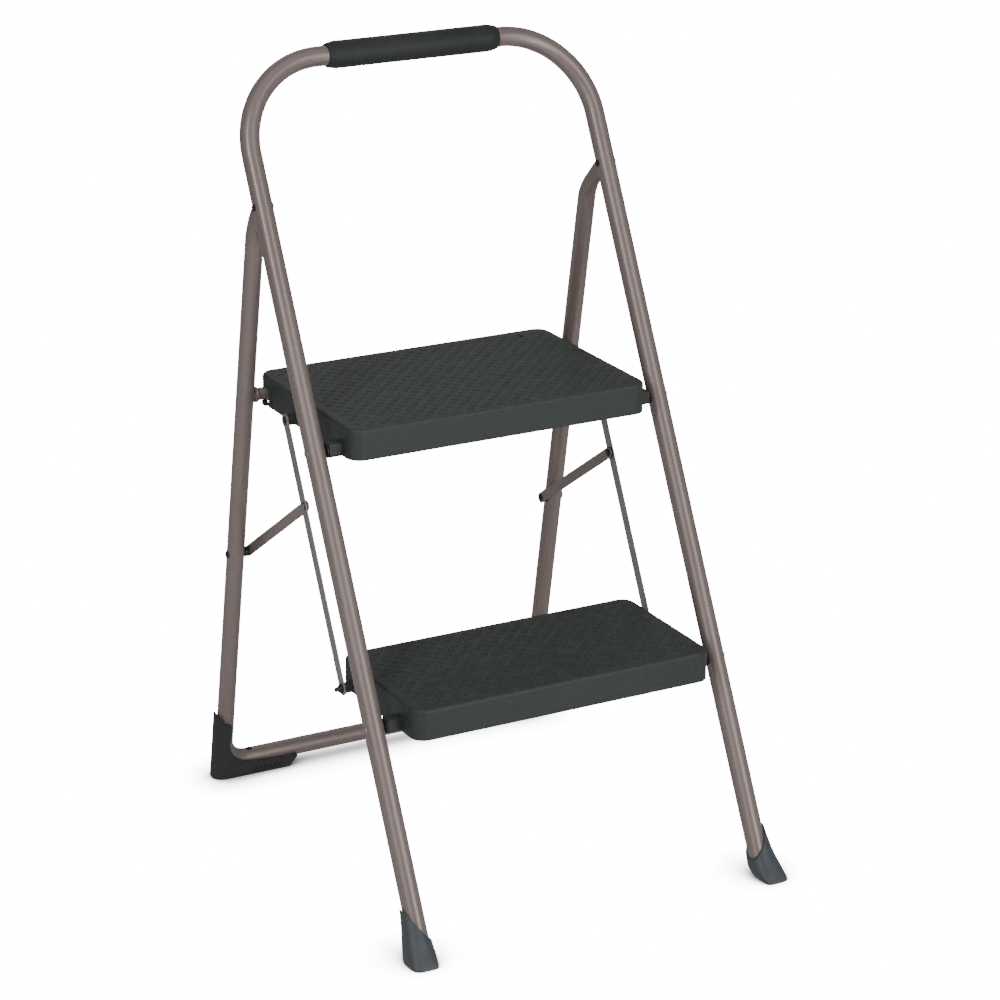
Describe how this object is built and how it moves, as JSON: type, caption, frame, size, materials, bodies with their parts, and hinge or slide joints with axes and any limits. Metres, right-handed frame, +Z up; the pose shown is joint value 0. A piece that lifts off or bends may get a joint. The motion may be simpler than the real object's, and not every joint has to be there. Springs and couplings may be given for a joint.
{
  "type": "folding step stool",
  "caption": "Folding tubular steel step stool with moulded non-slip steps, a hooped hand rail with a soft grip, fold links and rubber feet.",
  "frame": {"origin": "on the floor, in the middle of the open stool's footprint", "axes": "+X to the right of a person climbing it, +Y away from that person, towards the rear legs, +Z up"},
  "size_m": [0.471, 0.5698, 0.8887],
  "materials": {
    "frame_paint": "satin warm grey-brown metallic powder coat",
    "link_steel": "dull zinc-plated steel",
    "dark_fittings": "black",
    "step_moulding": "moulded, fine matt grain, raised anti-slip studs",
    "grip_vinyl": "matt moulded vinyl sleeve",
    "foot_rubber": "matt"
  },
  "bodies": {
    "front_frame": {"front_frame": "frame_paint", "hand_grip": "grip_vinyl", "front_foot_left": "foot_rubber", "front_foot_right": "foot_rubber", "frame_rivet_left": "dark_fittings", "frame_rivet_right": "dark_fittings", "top_step_rivet_left": "link_steel", "top_step_rivet_right": "link_steel", "top_step_washer_left": "dark_fittings", "top_step_washer_right": "dark_fittings", "bottom_step_rivet_left": "link_steel", "bottom_step_rivet_right": "link_steel", "bottom_step_washer_left": "dark_fittings", "bottom_step_washer_right": "dark_fittings"},
    "rear_frame": {"rear_frame": "frame_paint", "rear_crossbar": "frame_paint", "rear_foot_left": "foot_rubber", "rear_foot_right": "foot_rubber", "foot_screw_left": "link_steel", "foot_screw_right": "link_steel", "strut_rivet_left": "dark_fittings", "strut_rivet_right": "dark_fittings", "strut_spacer_left": "dark_fittings", "strut_spacer_right": "dark_fittings"},
    "top_step": {"top_step": "step_moulding", "link_rivet_left": "link_steel", "link_rivet_right": "link_steel"},
    "bottom_step": {"bottom_step": "step_moulding", "stop_peg_left": "dark_fittings", "stop_peg_right": "dark_fittings"},
    "link_left": {"link_bar_left": "link_steel", "strut_pin_left": "link_steel"},
    "link_right": {"link_bar_right": "link_steel", "strut_pin_right": "link_steel"},
    "strut_left": {"strut_left": "frame_paint", "strut_end_rivet_left": "link_steel"},
    "strut_right": {"strut_right": "frame_paint", "strut_end_rivet_right": "link_steel"}
  },
  "joints": [
    {"name": "top_step_fold", "type": "hinge", "parent": "front_frame", "child": "top_step", "pos_m": [0, -0.00743, 0.4917], "axis": [1, 0, 0], "range_deg": [0, 56]},
    {"name": "bottom_step_fold", "type": "hinge", "parent": "front_frame", "child": "bottom_step", "pos_m": [0, -0.14354, 0.2234], "axis": [1, 0, 0], "range_deg": [0, 56]},
    {"name": "rear_frame_fold", "type": "hinge", "parent": "front_frame", "child": "rear_frame", "pos_m": [0, 0.1152, 0.7334], "axis": [-1, 0, 0], "range_deg": [0, 35.4]},
    {"name": "link_left_swing", "type": "hinge", "parent": "top_step", "child": "link_left", "pos_m": [-0.1955, 0.10458, 0.4917], "axis": [-1, 0, 0], "range_deg": [0, 56]},
    {"name": "link_right_swing", "type": "hinge", "parent": "top_step", "child": "link_right", "pos_m": [0.1955, 0.10458, 0.4917], "axis": [-1, 0, 0], "range_deg": [0, 56]},
    {"name": "strut_left_swing", "type": "hinge", "parent": "rear_frame", "child": "strut_left", "pos_m": [-0.1925, 0.217, 0.3], "axis": [-1, 0, 0], "range_deg": [0, 40.54]},
    {"name": "strut_right_swing", "type": "hinge", "parent": "rear_frame", "child": "strut_right", "pos_m": [0.1925, 0.217, 0.3], "axis": [-1, 0, 0], "range_deg": [0, 40.54]}
  ],
  "couplings": [
    {"joint": "bottom_step_fold", "follows": "top_step_fold", "ratio": 1},
    {"joint": "rear_frame_fold", "follows": "top_step_fold", "ratio": 0.63214},
    {"joint": "link_left_swing", "follows": "top_step_fold", "ratio": 1},
    {"joint": "link_right_swing", "follows": "top_step_fold", "ratio": 1},
    {"joint": "strut_left_swing", "follows": "top_step_fold", "ratio": 0.72388},
    {"joint": "strut_right_swing", "follows": "top_step_fold", "ratio": 0.72388}
  ]
}
